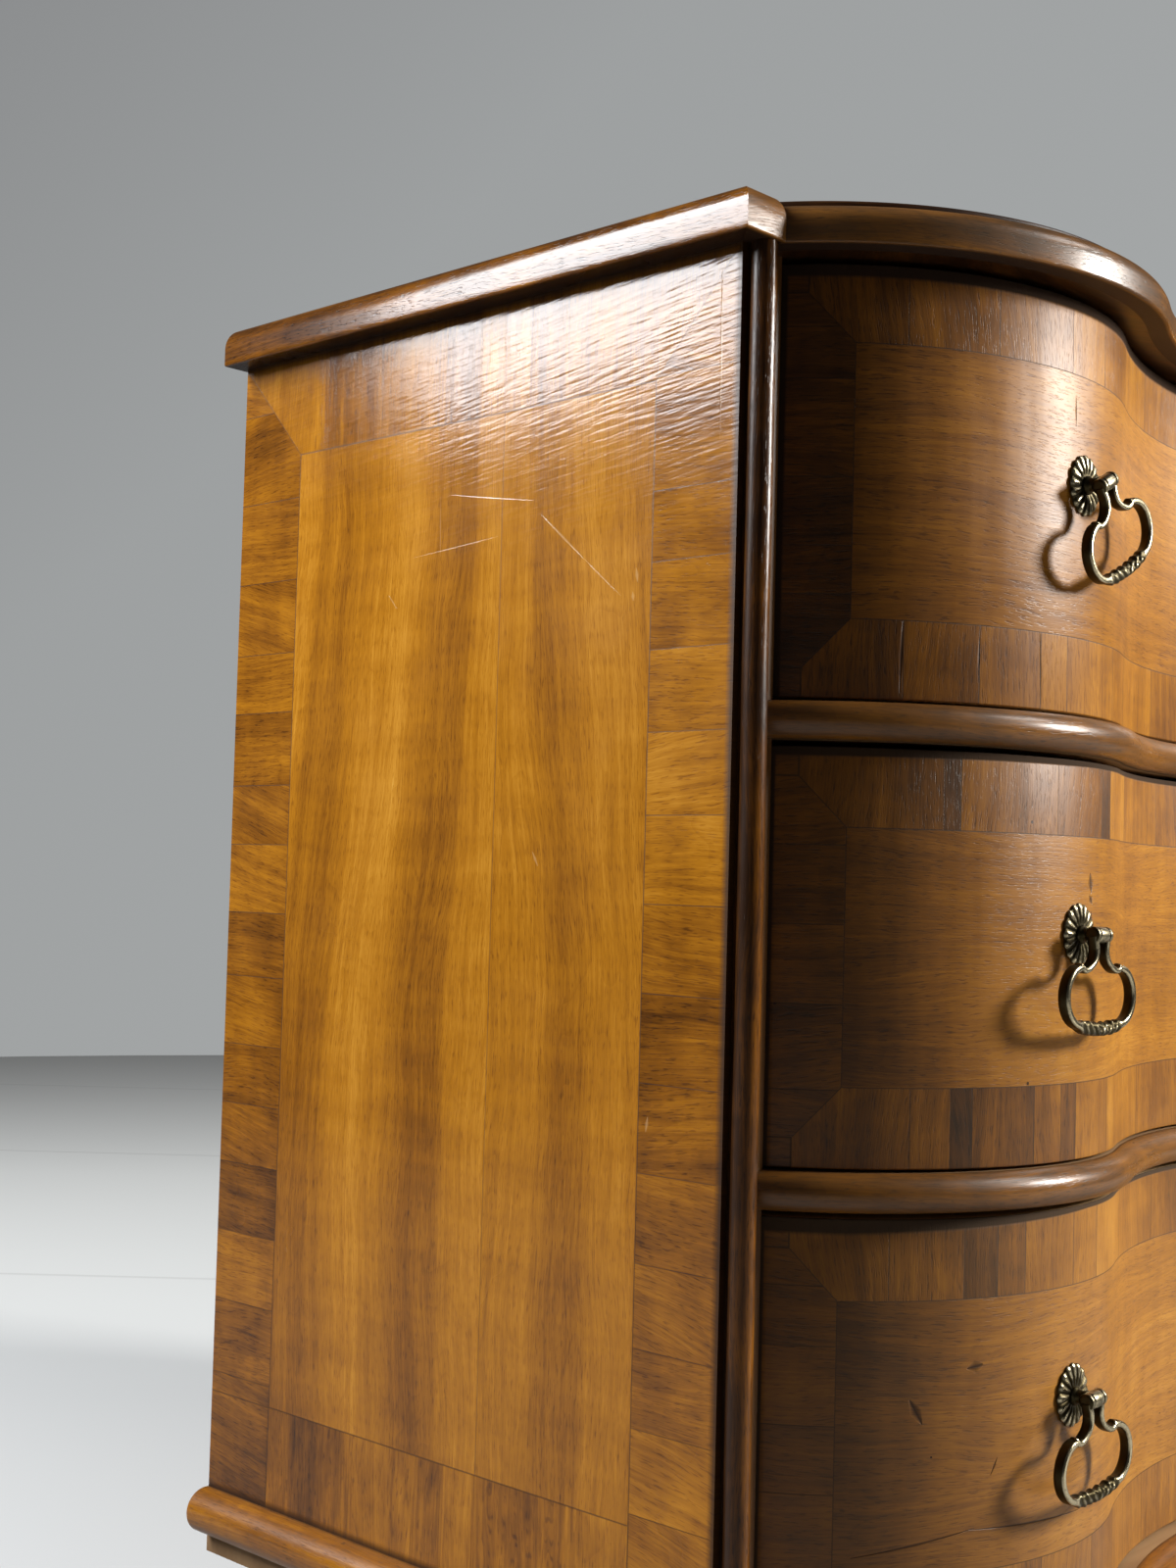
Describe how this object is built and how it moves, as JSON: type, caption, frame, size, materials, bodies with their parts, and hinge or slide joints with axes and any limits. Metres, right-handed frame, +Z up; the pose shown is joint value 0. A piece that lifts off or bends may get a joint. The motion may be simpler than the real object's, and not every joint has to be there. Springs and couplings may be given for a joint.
{
  "type": "serpentine chest of drawers",
  "caption": "Small walnut chest with a serpentine front, crossbanded drawers with bail handles, half-round mouldings and bun feet.",
  "frame": {"origin": "on the floor, below the middle of the chest's overall width and depth", "axes": "+Z up, the drawer fronts face -Y, +X to the right of a person who faces the drawers"},
  "size_m": [0.77, 0.4868, 0.781],
  "materials": {
    "walnut_veneer": "french polish",
    "walnut_moulding": "french polish",
    "turned_walnut": "french polish",
    "carcass_pine": "raw, aged",
    "drawer_lining": "raw, aged",
    "aged_brass": "dark patina with rubbed high spots"
  },
  "bodies": {
    "root": {"top_board": "walnut_veneer", "top_moulding_left": "walnut_moulding", "top_moulding_right": "walnut_moulding", "top_moulding_front": "walnut_moulding", "top_corner_left": "walnut_moulding", "top_corner_right": "walnut_moulding", "side_panel_left": "walnut_veneer", "side_panel_right": "walnut_veneer", "front_stile_left": "walnut_moulding", "front_stile_right": "walnut_moulding", "corner_bead_left": "walnut_moulding", "corner_bead_right": "walnut_moulding", "upper_divider": "carcass_pine", "lower_divider": "carcass_pine", "upper_nosing": "walnut_moulding", "lower_nosing": "walnut_moulding", "upper_runners": "carcass_pine", "lower_runners": "carcass_pine", "back_panel": "carcass_pine", "base_board": "carcass_pine", "base_moulding_left": "walnut_moulding", "base_moulding_right": "walnut_moulding", "base_moulding_front": "walnut_moulding", "base_corner_left": "walnut_moulding", "base_corner_right": "walnut_moulding", "batten_left": "carcass_pine", "batten_right": "carcass_pine", "batten_front": "carcass_pine", "batten_back": "carcass_pine", "foot_front_left": "turned_walnut", "foot_front_right": "turned_walnut", "foot_back_left": "turned_walnut", "foot_back_right": "turned_walnut"},
    "drawer_1": {"drawer_1_front": "walnut_veneer", "drawer_1_side_left": "drawer_lining", "drawer_1_side_right": "drawer_lining", "drawer_1_back": "drawer_lining", "drawer_1_bottom": "drawer_lining", "handle_plates_1": "aged_brass", "handle_bolts_1": "aged_brass"},
    "bail_1_left": {"bail_1_left": "aged_brass"},
    "bail_1_right": {"bail_1_right": "aged_brass"},
    "drawer_2": {"drawer_2_front": "walnut_veneer", "drawer_2_side_left": "drawer_lining", "drawer_2_side_right": "drawer_lining", "drawer_2_back": "drawer_lining", "drawer_2_bottom": "drawer_lining", "handle_plates_2": "aged_brass", "handle_bolts_2": "aged_brass"},
    "bail_2_left": {"bail_2_left": "aged_brass"},
    "bail_2_right": {"bail_2_right": "aged_brass"},
    "drawer_3": {"drawer_3_front": "walnut_veneer", "drawer_3_side_left": "drawer_lining", "drawer_3_side_right": "drawer_lining", "drawer_3_back": "drawer_lining", "drawer_3_bottom": "drawer_lining", "handle_plates_3": "aged_brass", "handle_bolts_3": "aged_brass"},
    "bail_3_left": {"bail_3_left": "aged_brass"},
    "bail_3_right": {"bail_3_right": "aged_brass"}
  },
  "joints": [
    {"name": "drawer_1_slide", "type": "slide", "parent": "root", "child": "drawer_1", "axis": [0, -1, 0], "range_m": [0, 0.28]},
    {"name": "bail_1_left_swing", "type": "hinge", "parent": "drawer_1", "child": "bail_1_left", "pos_m": [-0.193, -0.2325, 0.661], "axis": [-0.891, 0, -0.454], "range_deg": [-9, 95]},
    {"name": "bail_1_right_swing", "type": "hinge", "parent": "drawer_1", "child": "bail_1_right", "pos_m": [0.193, -0.2325, 0.661], "axis": [-0.9986, 0, 0.0523], "range_deg": [-9, 95]},
    {"name": "drawer_2_slide", "type": "slide", "parent": "root", "child": "drawer_2", "axis": [0, -1, 0], "range_m": [0, 0.28]},
    {"name": "bail_2_left_swing", "type": "hinge", "parent": "drawer_2", "child": "bail_2_left", "pos_m": [-0.193, -0.2325, 0.436], "axis": [-0.9998, 0, 0.0175], "range_deg": [-9, 95]},
    {"name": "bail_2_right_swing", "type": "hinge", "parent": "drawer_2", "child": "bail_2_right", "pos_m": [0.193, -0.2325, 0.436], "axis": [-0.9945, 0, 0.1045], "range_deg": [-9, 95]},
    {"name": "drawer_3_slide", "type": "slide", "parent": "root", "child": "drawer_3", "axis": [0, -1, 0], "range_m": [0, 0.28]},
    {"name": "bail_3_left_swing", "type": "hinge", "parent": "drawer_3", "child": "bail_3_left", "pos_m": [-0.193, -0.2325, 0.21], "axis": [-0.9986, 0, -0.0523], "range_deg": [-9, 95]},
    {"name": "bail_3_right_swing", "type": "hinge", "parent": "drawer_3", "child": "bail_3_right", "pos_m": [0.193, -0.2325, 0.21], "axis": [-0.9976, 0, 0.0698], "range_deg": [-9, 95]}
  ]
}
